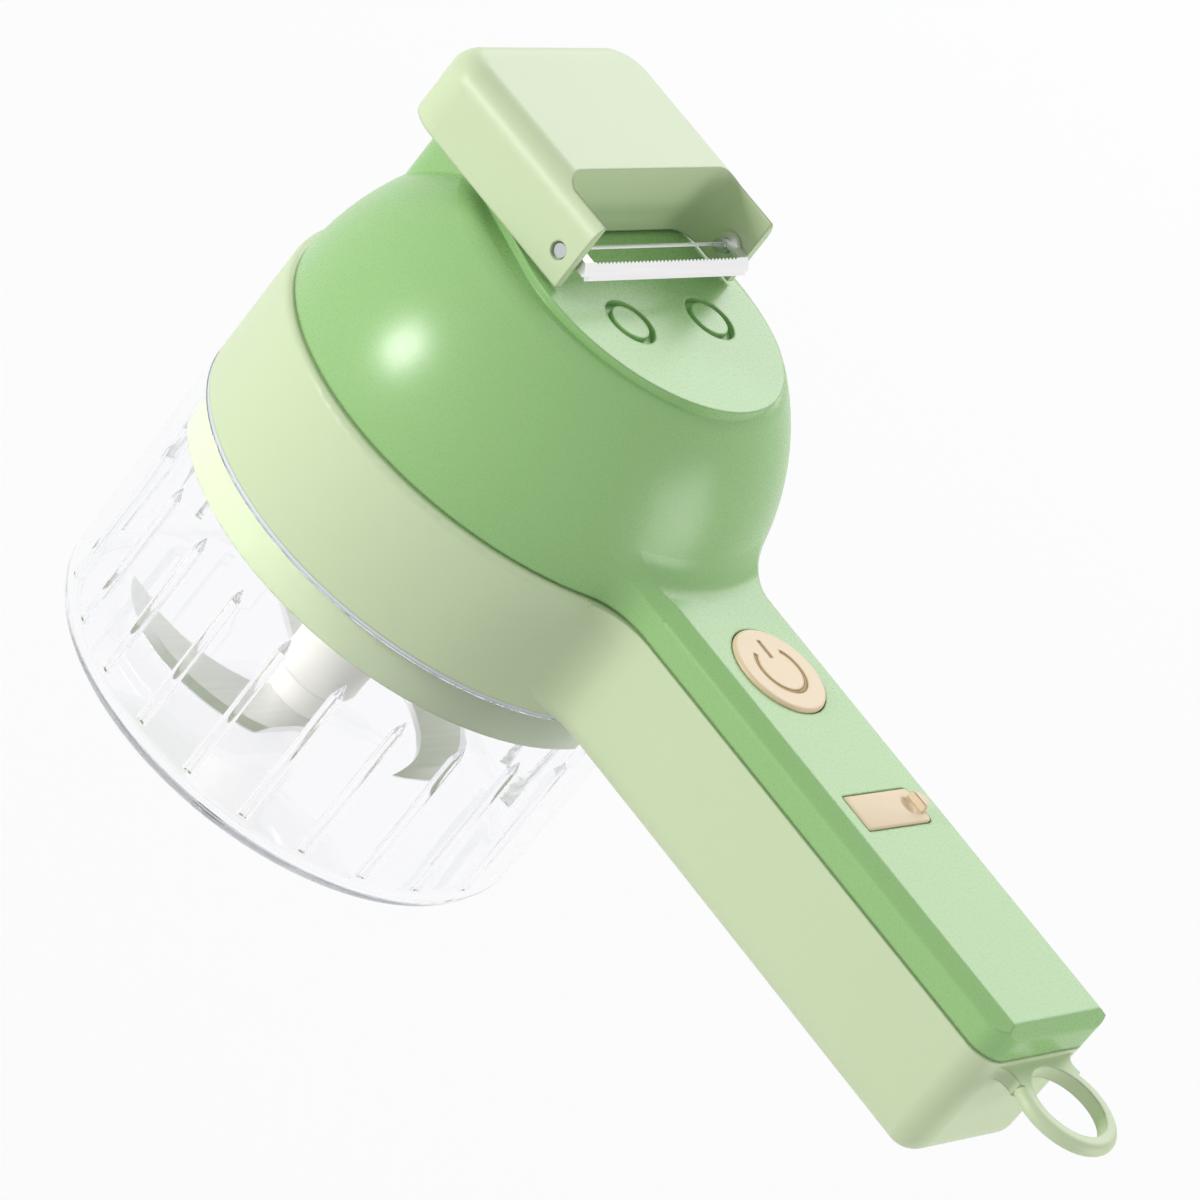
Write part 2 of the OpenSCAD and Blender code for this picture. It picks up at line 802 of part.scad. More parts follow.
module upper_housing() {
    tail_base = dome_z + sqrt(pow(dome_r, 2) - pow(norm([tail_x, tail_y]) + tail_r, 2)) - 0.5;
    dome_in = dome_r - wall;
    boss_top = handle_top - wall / 2;
    color(mid_green) difference() {
        union() {
            difference() {
                union() {
                    rotate([0, 0, 180]) rotate_extrude() dome_outline();
                    disc(dome_r - seam_depth, seam_z, seam_z + seam_groove + cut);
                    raised(seam_z, seam_z + seam_groove + cut) intersection() {
                        handle_plan(seam_depth);
                        translate([handle_start, -handle_hw]) square([handle_end, handle_w]);
                    }
                    both_sides() raised(seam_z, seam_z + seam_groove + cut)
                        root_corner(dome_r - seam_depth, handle_hw - seam_depth, root_r + seam_depth);
                    upper_handle(0, handle_start, seam_z + seam_groove, crease_r);
                    both_sides() upper_root();
                    raised(tail_base, seat_z) seat_plan();
                }
                intersection() {
                    translate([0, 0, dome_z]) sphere(dome_in);
                    disc(2 * dome_r, seam_z - cut, seat_z - seat_t);
                }
                upper_handle(wall, handle_start - cut, seam_z - cut, 0);
            }
            accessory_block();
            at_plugs() disc(clamp_boss_r, clamp_boss_z, seat_z - seat_t + cut);
            at_screws() disc(boss_r, seam_z, boss_top);
        }
        at_plugs() {
            disc(plug_pocket_r, seat_z - plug_depth, seat_z + cut);
            disc(clamp_head_r + fit_gap, clamp_boss_z + clamp_floor, seat_z);
            disc(clamp_screw_r + fit_gap, clamp_boss_z - cut, seat_z);
        }
        at_screws() disc(case_screw_r + fit_gap, seam_z - cut, handle_top - wall - 0.5);
        translate([button_x, 0, 0]) disc(button_r + button_gap, seam_z, handle_top + cut);
        charging_pocket();
    }
}

module rim_gasket() {
    color(rubber) difference() {
        disc(cup_r - 0.15, cup_h + seat_gap, collar_z);
        disc(neck_r + fit_gap, cup_h, collar_z + cut);
    }
}

// Drive

// Outline of an involute gear: tip and root are given in modules from the pitch circle
function involute(a) = tan(a) * 180 / PI - a;
function flank_angle(teeth, r, spare) =
    let (base = gear_module * teeth / 2 * cos(pressure))
    90 / teeth - spare / (gear_module * teeth) * 180 / PI
        + involute(pressure) - involute(acos(min(1, base / max(r, base))));
module gear_outline(teeth, tip, root, spare) {
    pitch_r = gear_module * teeth / 2;
    inner = pitch_r - root * gear_module;
    outer = pitch_r + tip * gear_module;
    flank = max(inner, pitch_r * cos(pressure));
    steps = 4;
    radii = concat(flank > inner ? [inner] : [], [for (i = [0 : steps]) flank + (outer - flank) * i / steps]);
    last = len(radii) - 1;
    polygon([
        for (tooth = [0 : teeth - 1])
        for (i = [0 : 2 * last + 1])
        let (r = radii[i <= last ? i : 2 * last + 1 - i], side = i <= last ? -1 : 1)
        let (a = tooth * 360 / teeth + side * flank_angle(teeth, r, spare))
        [r * cos(a), r * sin(a)]
    ]);
}

module sun_gear() {
    color(brass) difference() {
        raised(gear_z, gear_top) gear_outline(sun_teeth, tooth_add, tooth_ded, backlash);
        disc(motor_shaft_r + fit_gap, gear_z - cut, gear_top + cut);
    }
}

module planet_gear(order) {
    color(off_white) rotate(order * 360 / planet_count) translate([planet_orbit, 0, 0]) difference() {
        raised(gear_z, gear_top)
            rotate(180 / planet_teeth) gear_outline(planet_teeth, tooth_add, tooth_ded, backlash);
        disc(planet_pin_r + shaft_gap, gear_z - cut, gear_top + cut);
    }
}
module planet_gear_1() { planet_gear(0); }
module planet_gear_2() { planet_gear(1); }
module planet_gear_3() { planet_gear(2); }

module planet_carrier() {
    color(steel) {
        difference() {
            disc(carrier_r, carrier_z, carrier_z + carrier_t);
            disc(shaft_r + fit_gap, carrier_z - cut, carrier_z + carrier_t + cut);
        }
        round_copies(planet_count, planet_orbit) disc(planet_pin_r, carrier_z + carrier_t, gear_top);
    }
}

module output_shaft() {
    hex_z = hub_top - socket_depth + push_gap;
    hex_top = plate_z - seal_t - push_gap;
    color(steel) {
        translate([0, 0, hex_z]) cylinder(r = drive_r, h = hex_top - hex_z, $fn = 6);
        disc(shaft_r, hex_top, carrier_z + carrier_t);
    }
}

module shaft_bush() {
    color(brass) difference() {
        disc(bush_r, plate_z, collar_z + case_base);
        disc(shaft_r + shaft_gap, plate_z - cut, collar_z + case_base + cut);
    }
}

module shaft_seal() {
    color(rubber) difference() {
        disc(bush_r + seal_w, plate_z - seal_t, plate_z);
        disc(shaft_r + 2 * shaft_gap, plate_z - seal_t - cut, plate_z + cut);
    }
}

module gear_case() {
    color(off_white) difference() {
        union() {
            disc(case_r, collar_z, motor_plate_z);
            round_copies(planet_count, tie_at, 180) disc(tie_r, collar_z + tie_boss_h, motor_plate_z);
        }
        round_copies(planet_count, tie_at, 180) {
            disc(tie_r + push_gap, collar_z - cut, collar_z + tie_boss_h);
            disc(tie_screw_r + push_gap, collar_z, motor_plate_z + cut);
        }
        disc(bush_r + fit_gap, collar_z - cut, collar_z + case_base + cut);
        disc(carrier_pocket, collar_z + case_base, motor_plate_z + cut);
        raised(gear_z - run_gap, motor_plate_z + cut)
            rotate(180 / ring_teeth) gear_outline(ring_teeth, tooth_ded, tooth_add, -backlash);
    }
}

module motor_plate() {
    color(steel) difference() {
        union() {
            disc(case_r, motor_plate_z, motor_z);
            round_copies(planet_count, tie_at, 180) disc(tie_r, motor_plate_z, motor_z);
        }
        disc(motor_boss_r + fit_gap, motor_plate_z - cut, motor_z + cut);
        round_copies(planet_count, tie_at, 180)
            disc(tie_screw_r + push_gap, motor_plate_z - cut, motor_z + cut);
        round_copies(2, motor_screw_at) {
            disc(motor_screw_r + fit_gap, motor_plate_z - cut, motor_z + cut);
            translate([0, 0, motor_plate_z])
                cylinder(r1 = 2 * motor_screw_r, r2 = motor_screw_r, h = motor_screw_r);
        }
    }
}

module motor_screws() {
    color(steel) round_copies(2, motor_screw_at) {
        translate([0, 0, motor_plate_z])
            cylinder(r1 = 2 * motor_screw_r - fit_gap, r2 = motor_screw_r, h = motor_screw_r);
        disc(motor_screw_r, motor_plate_z + motor_screw_r, motor_z + motor_screw_in);
    }
}

module gearbox_screws() {
    color(steel) round_copies(planet_count, tie_at, 180) {
        disc(tie_head_r, motor_z, motor_z + tie_head_h);
        disc(tie_screw_r, collar_z + tie_pilot + push_gap, motor_z);
    }
}

module motor_can() {
    color(steel) difference() {
        rotate_extrude() {
            rounded([[0, motor_z], [motor_r, motor_z], [motor_r, can_top], [0, can_top]], [0, 1, 0, 0]);
            translate([0, motor_plate_z]) square([motor_boss_r, motor_plate_t + cut]);
        }
        disc(motor_r - can_wall, motor_z + can_floor, can_top + cut);
        disc(motor_shaft_r + shaft_gap, motor_plate_z - cut, can_top);
        round_copies(2, motor_screw_at)
            disc(motor_screw_r + fit_gap, motor_z - cut, motor_z + can_floor + cut);
    }
}

// Two curved magnets inside the can, split where the brushes sit
module motor_magnets() {
    base = motor_z + can_floor;
    color(black) difference() {
        disc(motor_r - can_wall, base, base + magnet_l);
        disc(motor_r - can_wall - magnet_t, base - cut, base + magnet_l + cut);
        translate([-motor_r, -magnet_gap / 2, base - cut])
            cube([2 * motor_r, magnet_gap, magnet_l + 2 * cut]);
    }
}

// Slotted rotor core with its commutator, pressed on the motor's shaft
module armature() {
    core_r = motor_r - can_wall - magnet_t - air_gap;
    base = motor_z + can_floor + 1;
    top = base + magnet_l - 2;
    color(steel) difference() {
        union() {
            disc(core_r, base, top);
            disc(core_r / 3, top, can_top - air_gap);
        }
        disc(motor_shaft_r + fit_gap, base - cut, can_top);
        round_copies(pole_count, core_r - pole_depth)
            translate([0, -pole_slot / 2, base - cut]) cube([pole_depth + cut, pole_slot, magnet_l]);
    }
}

module motor_end_cap() {
    top = motor_z + motor_l;
    color(black) difference() {
        union() {
            disc(motor_r - can_wall / 2, can_top, top);
            for (side = [-1, 1]) translate([side * terminal_x - terminal_t / 2, -terminal_w / 2, can_top])
                cube([terminal_t, terminal_w, motor_cap_l + terminal_up]);
        }
        disc(motor_shaft_r + shaft_gap, can_top - cut, top - 1);
    }
}

module motor_shaft() {
    color(steel) disc(motor_shaft_r, gear_z, motor_z + motor_l - 1.5);
}

// Ring round the motor's upper end, hung from the seat on two posts
module motor_clamp() {
    base = can_top - clamp_h;
    color(black) difference() {
        union() {
            disc(motor_r + clamp_wall, base, can_top);
            at_plugs() disc(clamp_ear_r, base, clamp_boss_z);
        }
        disc(motor_r + fit_gap, base - cut, clamp_boss_z + cut);
        at_plugs() disc(clamp_screw_r + fit_gap, clamp_boss_z - clamp_screw_in - 1, clamp_boss_z + cut);
    }
}

module clamp_screws() {
    head_z = clamp_boss_z + clamp_floor;
    color(steel) at_plugs() {
        disc(clamp_head_r, head_z, head_z + clamp_head_h);
        disc(clamp_screw_r, clamp_boss_z - clamp_screw_in, head_z);
    }
}

module screw_plugs() {
    color(mid_green) at_plugs() {
        disc(plug_pocket_r - fit_gap, seat_z - plug_depth, seat_z - plug_depth + plug_rim);
        disc(plug_top_r, seat_z - plug_depth, seat_z);
    }
}

// Handle's inside

module battery_holder() {
    y = cell_r + holder_wall;
    x0 = cell_start - contact_t - holder_end;
    x1 = cell_start + cell_l + contact_t + holder_end;
    color(black) difference() {
        translate([x0, -y, handle_floor]) cube([x1 - x0, 2 * y, cell_r + holder_floor]);
        translate([x0 + holder_end, 0, cell_z]) rotate([0, 90, 0])
            cylinder(r = cell_r + fit_gap, h = x1 - x0 - 2 * holder_end);
    }
}

module battery_cell() {
    color([0.35, 0.5, 0.75]) translate([cell_start, 0, cell_z]) rotate([0, 90, 0])
        cylinder(r = cell_r, h = cell_l);
}

module battery_contacts() {
    color(brass) for (x = [cell_start - contact_t, cell_start + cell_l])
        translate([x, 0, cell_z]) rotate([0, 90, 0]) cylinder(r = cell_r - 1, h = contact_t);
}

module circuit_board() {
    color([0.1, 0.4, 0.25]) difference() {
        translate([board_start, -board_hw, board_z]) cube([board_end - board_start, 2 * board_hw, board_t]);
        at_posts() disc(board_screw_r + push_gap, board_z - cut, board_top + cut);
    }
}

module board_screws() {
    color(steel) at_posts() {
        disc(board_head_r, board_top, board_top + board_head_h);
        disc(board_screw_r, board_z - board_screw_in, board_top);
    }
}

// Height of the switch's plunger, which the button's stem rests on
plunger_top = board_top + switch_h + button_travel + 0.3;

module power_switch() {
    half = switch_w / 2;
    color(black) difference() {
        translate([button_x - half, -half, board_top]) cube([switch_w, switch_w, switch_h]);
        translate([button_x, 0, 0]) disc(plunger_r + shaft_gap, board_top + 0.6, board_top + switch_h + cut);
    }
}

module switch_plunger() {
    color(off_white) translate([button_x, 0, 0])
        disc(plunger_r, board_top + 0.6 + button_travel + 0.2, plunger_top);
}

// Power sign: a ring with a gap towards the dome, and a bar in the gap
module power_sign() {
    side = 2 * sign_r * tan(sign_gap);
    difference() {
        circle(sign_r + sign_line / 2);
        circle(sign_r - sign_line / 2);
        polygon([[0, 0], [-2 * sign_r, side], [-2 * sign_r, -side]]);
    }
    translate([-sign_r - sign_bar_out, -sign_line / 2]) square([sign_bar_l, sign_line]);
}

module power_button() {
    top = handle_top + button_proud;
    flange_top = handle_top - wall - seat_gap;
    flange_z = flange_top - button_flange_t;
    color(peach) translate([button_x, 0, 0]) difference() {
        union() {
            rotate_extrude() rounded([[0, flange_z], [button_r, flange_z], [button_r, top], [0, top]],
                [0, 0, button_proud, 0]);
            disc(button_r + button_flange, flange_z, flange_top);
            disc(stem_r, plunger_top, flange_top);
        }
        raised(top - sign_depth, top + cut) power_sign();
    }
}

module charging_socket() {
    top = pocket_z - 0.2;
    color(steel) translate([cover_x, cover_y, 0]) {
        difference() {
            raised(board_top, top) charging_port(0);
            raised(board_top + 2 * socket_wall, top + cut) charging_port(-socket_wall);
        }
        translate([-socket_tongue / 2, -tongue_l / 2, board_top + socket_wall])
            cube([socket_tongue, tongue_l, top - board_top - 3 * socket_wall]);
    }
}

module charging_cover() {
    half = cover_w / 2;
    front = cover_y + cover_l / 2;
    base = cover_z - cover_t / 2;
    top = cover_z + cover_t / 2;
    tab_z = handle_top + cover_gap;
    tab_end = front + tab_over;
    color(peach) translate([cover_x, 0, 0]) {
        raised(base, top) rounded(
            [[-half, cover_hinge_y], [half, cover_hinge_y], [half, front], [-half, front]],
            [0, 0, cover_round, cover_round]);
        translate([-half, cover_hinge_y, cover_z]) rotate([0, 90, 0]) cylinder(r = cover_t / 2, h = cover_w);
        raised(tab_z, tab_z + tab_t) {
            translate([0, tab_end - tab_w / 2]) circle(tab_w / 2);
            translate([0, tab_end - tab_l + tab_w / 2]) circle(tab_w / 2);
            translate([-tab_w / 2, tab_end - tab_l + tab_w / 2]) square([tab_w, tab_l - tab_w]);
        }
    }
}

module housing_screws() {
    head_z = handle_z + case_head_sunk;
    color(steel) at_screws() {
        disc(case_head_r, head_z - case_head_h, head_z);
        disc(case_screw_r, head_z, head_z + case_screw_l);
    }
}

// Peeler

// What a round back corner takes off, with the round upper edge running on round it
module peeler_corner_cut() {
    c = peeler_corner + tuck;
    low = peeler_z - cut;
    top = peeler_top + tuck;
    translate([peeler_back + peeler_corner, peeler_hw - peeler_corner, 0]) difference() {
        translate([-c - cut, 0, low]) cube([c + cut, c + cut, peeler_h + 2 * cut]);
        rotate_extrude() intersection() {
            rounded([[-c, low - cut], [c, low - cut], [c, top], [-c, top]], [0, 0, peeler_round + tuck, 0]);
            translate([0, low - cut]) square([c, top - low + cut]);
        }
    }
}

module peeler_form(inset, front, base) {
    y = peeler_hw - inset;
    x = peeler_back + inset;
    t = peeler_top - inset;
    r = peeler_round - inset;
    c = peeler_corner - inset;
    intersection() {
        raised(base, t) rounded([[front, -y], [front, y], [x, y], [x, -y]], [0, 0, c, c]);
        along_x(x, front) rounded([[-y, base], [-y, t], [y, t], [y, base]], [0, r, r, 0]);
        along_y(y) rounded([[front, base], [x, base], [x, t], [front, t]], [0, 0, r, 0]);
    }
}

module peeler_head() {
    inner = peeler_hw - peeler_wall;
    front = peeler_front + cut;
    web_z = seat_z + block_h + push_gap;
    color(pale_green) difference() {
        union() {
            difference() {
                peeler_form(0, peeler_front, peeler_z);
                both_sides() peeler_corner_cut();
                peeler_form(peeler_wall, notch_x - peeler_wall, peeler_z - cut);
                raised(peeler_z - cut, peeler_top + cut)
                    rounded([[notch_x, -inner], [front, -inner], [front, inner], [notch_x, inner]],
                        [notch_r, 0, 0, notch_r]);
            }
            both_sides() translate([block_back, web_y, web_z])
                cube([notch_x - peeler_wall / 2 - block_back, web_t, peeler_top - peeler_wall / 2 - web_z]);
        }
        translate([pivot_x, 0, pivot_z]) rotate([90, 0, 0])
            cylinder(r = pivot_r + fit_gap, h = peeler_w + cut, center = true);
        both_sides() translate([pivot_x, peeler_hw + cut, pivot_z]) rotate([90, 0, 0])
            cylinder(r = pivot_r + pin_rim, h = pin_sink + cut);
    }
}

// Pins pressed into the arms, with their outer ends in a recess and their inner ends in the blade's lugs
pin_in = 3.4;
pin_sink = 0.9;
pin_rim = 0.35;
pin_show = 0.5;

module peeler_pins() {
    color(steel) both_sides() translate([pivot_x, peeler_hw - pin_show, pivot_z]) rotate([90, 0, 0])
        cylinder(r = pivot_r, h = peeler_wall + pin_in - pin_show);
}

module peeler_blade() {
    end_y = peeler_hw - peeler_wall - run_gap;
    slot_x = pivot_x + slot_ahead;
    top = pivot_z + slot_above;
    half = slot_w / 2;
    skew = sheet_t / sqrt(2);
    tooth_count = floor(2 * (end_y - slot_end) / tooth_pitch) - 1;
    roof = [
        [slot_x - half - strip_w, top - strip_w], [slot_x - half, top], [slot_x + half, top],
        [slot_x + half + strip_w, top - strip_w]
    ];
    color(steel) difference() {
        union() {
            along_y(end_y) polygon([
                roof[0], roof[1], roof[2], roof[3], roof[3] - [skew, skew], roof[2] - [edge_grind, sheet_t],
                roof[1] + [edge_grind, -sheet_t], roof[0] + [skew, -skew]
            ]);
            both_sides() translate([0, end_y, 0]) rotate([90, 0, 0]) linear_extrude(lug_t) {
                polygon(roof);
                translate([pivot_x, pivot_z]) circle(pivot_r + lug_w);
            }
        }
        translate([slot_x - half, slot_end - end_y, top - strip_w])
            cube([slot_w, 2 * (end_y - slot_end), strip_w + cut]);
        translate([pivot_x, 0, pivot_z]) rotate([90, 0, 0])
            cylinder(r = pivot_r + shaft_gap, h = peeler_w, center = true);
        both_sides() translate([roof[3][0], end_y, roof[3][1]]) rotate([0, -45, 0]) rotate([0, 0, 45])
            cube(tip_cut, center = true);
        for (i = [0 : tooth_count - 1])
            translate([roof[2][0], (i - (tooth_count - 1) / 2) * tooth_pitch, top])
                rotate([0, 45, 0]) rotate([0, 0, 45]) cube([tooth_cut, tooth_cut, strip_w], center = true);
    }
}

clear_cup();
blade_pin();
blade_hub();
lower_blade();
middle_blade();
upper_blade();
lower_housing();
upper_housing();
base_plate();
base_screws();
rim_gasket();
shaft_seal();
shaft_bush();
output_shaft();
planet_carrier();
planet_gear_1();
planet_gear_2();
planet_gear_3();
sun_gear();
motor_shaft();
armature();
gear_case();
motor_plate();
motor_screws();
gearbox_screws();
motor_can();
motor_magnets();
motor_end_cap();
motor_clamp();
clamp_screws();
screw_plugs();
battery_holder();
battery_cell();
battery_contacts();
circuit_board();
board_screws();
power_switch();
switch_plunger();
power_button();
charging_socket();
charging_cover();
housing_screws();
peeler_head();
peeler_pins();
peeler_blade();
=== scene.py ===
import math

import bpy
from mathutils import Matrix, Vector


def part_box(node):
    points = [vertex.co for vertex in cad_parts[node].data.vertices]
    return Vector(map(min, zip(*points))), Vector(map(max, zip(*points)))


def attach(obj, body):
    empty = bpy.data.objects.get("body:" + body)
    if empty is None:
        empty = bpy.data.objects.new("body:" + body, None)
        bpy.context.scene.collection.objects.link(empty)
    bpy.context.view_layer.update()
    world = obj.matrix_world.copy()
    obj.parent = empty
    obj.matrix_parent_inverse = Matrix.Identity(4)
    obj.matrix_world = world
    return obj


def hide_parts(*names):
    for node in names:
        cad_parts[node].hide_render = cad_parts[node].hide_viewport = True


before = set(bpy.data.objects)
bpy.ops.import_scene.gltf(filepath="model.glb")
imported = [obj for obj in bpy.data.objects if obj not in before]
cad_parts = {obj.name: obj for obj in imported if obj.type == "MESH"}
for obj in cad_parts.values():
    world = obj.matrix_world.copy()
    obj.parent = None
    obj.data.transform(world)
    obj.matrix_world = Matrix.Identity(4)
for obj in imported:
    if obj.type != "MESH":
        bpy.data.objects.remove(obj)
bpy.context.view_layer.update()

# Camera: it looks down on the cutter from the front left, with the handle running to the lower
# right. It is a long lens, turned on its side a little as the picture was.
lens_mm = 217.33
sensor_mm = 36.0
near_clip = 0.05
camera_place = (0.471594, -0.947796, 0.604391)
look_right = Vector((0.58, 0.5905, 0.5612)).normalized()
look_back = Vector((0.3737, -0.805, 0.4608)).normalized()
look_up = look_back.cross(look_right).normalized()
look_right = look_up.cross(look_back).normalized()
turn = Matrix((look_right, look_up, look_back)).transposed()
scene = bpy.context.scene
lens_data = bpy.data.cameras.new("photo_camera")
lens_data.lens = lens_mm
lens_data.sensor_width = sensor_mm
lens_data.sensor_height = sensor_mm
lens_data.sensor_fit = "AUTO"
lens_data.clip_start = near_clip
lens_data.dof.use_dof = False
photo_camera = bpy.data.objects.new("photo_camera", lens_data)
scene.collection.objects.link(photo_camera)
photo_camera.matrix_world = Matrix.Translation(camera_place) @ turn.to_4x4()
scene.camera = photo_camera


# Chopping cup: one clear injection moulding in hard styrene plastic, polished inside and out.
# It pushes onto the neck under the collar, and its colour only shows where a wall is seen on edge.
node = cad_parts
cup_colour = (0.99, 0.99, 1.0)
cup_gloss = 0.02
cup_ior = 1.49
cup_edge_colour = (0.62, 0.64, 0.80, 1.0)
cup_density = 1.5


def new_material(name, colour, roughness):
    made = bpy.data.materials.new(name)
    made.use_nodes = True
    shader = made.node_tree.nodes["Principled BSDF"]
    shader.inputs["Base Color"].default_value = (*colour, 1.0)
    shader.inputs["Roughness"].default_value = roughness
    return made, shader, made.node_tree.nodes, made.node_tree.links


def dress(material, *names):
    for name in names:
        for place in node[name].material_slots:
            place.material = material


clear_plastic, shader, nodes, links = new_material("clear_plastic", cup_colour, cup_gloss)
shader.inputs["Transmission Weight"].default_value = 1.0
shader.inputs["IOR"].default_value = cup_ior
absorption = nodes.new("ShaderNodeVolumeAbsorption")
absorption.inputs["Color"].default_value = cup_edge_colour
absorption.inputs["Density"].default_value = cup_density
links.new(absorption.outputs["Volume"], nodes["Material Output"].inputs["Volume"])
dress(clear_plastic, "clear_cup")
node["clear_cup"].visible_shadow = False


# Blade hub, gears, gear case and switch plunger: off-white acetal, moulded with a dull skin. The
# hub turns on a pin in the cup's floor, and the gears run in their case.
# The skin group gives every moulding its fine grain, faint flow clouds and uneven gloss.
flow_scale = 26.0
flow_detail = 3.0
flow_distortion = 0.6
grain_detail = 2.0
grain_strength = 0.25
edge_round = 0.0006
edge_samples = 4


def surface_group(name, inputs):
    group = bpy.data.node_groups.new(name, "ShaderNodeTree")
    for socket, kind, value in inputs:
        made = group.interface.new_socket(socket, in_out="INPUT", socket_type=kind)
        made.default_value = value
    for socket, kind in (
        ("Colour", "NodeSocketColor"),
        ("Roughness", "NodeSocketFloat"),
        ("Height", "NodeSocketFloat"),
    ):
        group.interface.new_socket(socket, in_out="OUTPUT", socket_type=kind)
    return group, group.nodes, group.links


def arithmetic(nodes, operation):
    made = nodes.new("ShaderNodeMath")
    made.operation = operation
    return made


def lay_surface(shader, nodes, links, group, values, strength, depth):
    surface = nodes.new("ShaderNodeGroup")
    surface.node_tree = group
    for socket, value in values.items():
        surface.inputs[socket].default_value = value
    relief = nodes.new("ShaderNodeBump")
    relief.inputs["Strength"].default_value = strength
    relief.inputs["Distance"].default_value = depth
    links.new(surface.outputs["Colour"], shader.inputs["Base Color"])
    links.new(surface.outputs["Roughness"], shader.inputs["Roughness"])
    links.new(surface.outputs["Height"], relief.inputs["Height"])
    links.new(relief.outputs["Normal"], shader.inputs["Normal"])
    return relief


skin, nodes, links = surface_group("moulded_skin", (
    ("Colour", "NodeSocketColor", (0.8, 0.8, 0.8, 1.0)),
    ("Flow Colour", "NodeSocketColor", (0.7, 0.7, 0.7, 1.0)),
    ("Gloss", "NodeSocketFloat", 0.35),
    ("Gloss Spread", "NodeSocketFloat", 0.06),
    ("Grain", "NodeSocketFloat", 1800.0),
))
skin_in = nodes.new("NodeGroupInput")
skin_out = nodes.new("NodeGroupOutput")
skin_place = nodes.new("ShaderNodeTexCoord")
flow_noise = nodes.new("ShaderNodeTexNoise")
flow_noise.inputs["Scale"].default_value = flow_scale
flow_noise.inputs["Detail"].default_value = flow_detail
flow_noise.inputs["Distortion"].default_value = flow_distortion
grain_noise = nodes.new("ShaderNodeTexNoise")
grain_noise.inputs["Detail"].default_value = grain_detail
flow_mix = nodes.new("ShaderNodeMix")
flow_mix.data_type = "RGBA"
gloss_range = nodes.new("ShaderNodeMapRange")
gloss_low = arithmetic(nodes, "SUBTRACT")
gloss_high = arithmetic(nodes, "ADD")
links.new(skin_place.outputs["Object"], flow_noise.inputs["Vector"])
links.new(skin_place.outputs["Object"], grain_noise.inputs["Vector"])
links.new(skin_in.outputs["Grain"], grain_noise.inputs["Scale"])
links.new(flow_noise.outputs["Fac"], flow_mix.inputs["Factor"])
links.new(skin_in.outputs["Colour"], flow_mix.inputs["A"])
links.new(skin_in.outputs["Flow Colour"], flow_mix.inputs["B"])
links.new(flow_mix.outputs["Result"], skin_out.inputs["Colour"])
for limit in (gloss_low, gloss_high):
    links.new(skin_in.outputs["Gloss"], limit.inputs[0])
    links.new(skin_in.outputs["Gloss Spread"], limit.inputs[1])
links.new(grain_noise.outputs["Fac"], gloss_range.inputs["Value"])
links.new(gloss_low.outputs[0], gloss_range.inputs["To Min"])
links.new(gloss_high.outputs[0], gloss_range.inputs["To Max"])
links.new(gloss_range.outputs["Result"], skin_out.inputs["Roughness"])
links.new(grain_noise.outputs["Fac"], skin_out.inputs["Height"])


def moulding(name, colour, flow_colour, gloss, spread, grain, depth):
    made, shader, nodes, links = new_material(name, colour, gloss)
    relief = lay_surface(shader, nodes, links, skin, {
        "Colour": (*colour, 1.0),
        "Flow Colour": (*flow_colour, 1.0),
        "Gloss": gloss,
        "Gloss Spread": spread,
        "Grain": grain,
    }, grain_strength, depth)
    edge = nodes.new("ShaderNodeBevel")
    edge.samples = edge_samples
    edge.inputs["Radius"].default_value = edge_round
    links.new(edge.outputs["Normal"], relief.inputs["Normal"])
    return made


white_plastic = moulding("white_plastic", (0.84, 0.82, 0.77), (0.80, 0.78, 0.72),
                         gloss=0.42, spread=0.05, grain=2200.0, depth=0.00003)
dress(white_plastic, "blade_hub", "planet_gear_1", "planet_gear_2", "planet_gear_3", "gear_case",
      "switch_plunger")


# Blades: stainless sheet, stamped to a sickle, ground along the leading edge and pressed into the
# hub. The peeler's blade is pressed from the same sheet and swings on its pins.
# The grinding leaves fine scratches across the sheet.
scratch_detail = 2.0
scratch_dulling = 0.12
scratch_strength = 0.2
scratch_depth = 0.00002
ground, nodes, links = surface_group("ground_steel", (
    ("Colour", "NodeSocketColor", (0.7, 0.7, 0.7, 1.0)),
    ("Scratch Colour", "NodeSocketColor", (0.5, 0.5, 0.5, 1.0)),
    ("Gloss", "NodeSocketFloat", 0.3),
    ("Across", "NodeSocketFloat", 900.0),
    ("Along", "NodeSocketFloat", 30.0),
))
ground_in = nodes.new("NodeGroupInput")
ground_out = nodes.new("NodeGroupOutput")
ground_place = nodes.new("ShaderNodeTexCoord")
stretch = nodes.new("ShaderNodeVectorMath")
stretch.operation = "MULTIPLY"
spacing = nodes.new("ShaderNodeCombineXYZ")
scratch_noise = nodes.new("ShaderNodeTexNoise")
scratch_noise.inputs["Scale"].default_value = 1.0
scratch_noise.inputs["Detail"].default_value = scratch_detail
scratch_mix = nodes.new("ShaderNodeMix")
scratch_mix.data_type = "RGBA"
scratch_gloss = arithmetic(nodes, "MULTIPLY_ADD")
scratch_gloss.inputs[1].default_value = scratch_dulling
links.new(ground_place.outputs["Object"], stretch.inputs[0])
links.new(ground_in.outputs["Across"], spacing.inputs["X"])
links.new(ground_in.outputs["Along"], spacing.inputs["Y"])
links.new(ground_in.outputs["Across"], spacing.inputs["Z"])
links.new(spacing.outputs["Vector"], stretch.inputs[1])
links.new(stretch.outputs["Vector"], scratch_noise.inputs["Vector"])
links.new(scratch_noise.outputs["Fac"], scratch_mix.inputs["Factor"])
links.new(ground_in.outputs["Colour"], scratch_mix.inputs["A"])
links.new(ground_in.outputs["Scratch Colour"], scratch_mix.inputs["B"])
links.new(scratch_mix.outputs["Result"], ground_out.inputs["Colour"])
links.new(scratch_noise.outputs["Fac"], scratch_gloss.inputs[0])
links.new(ground_in.outputs["Gloss"], scratch_gloss.inputs[2])
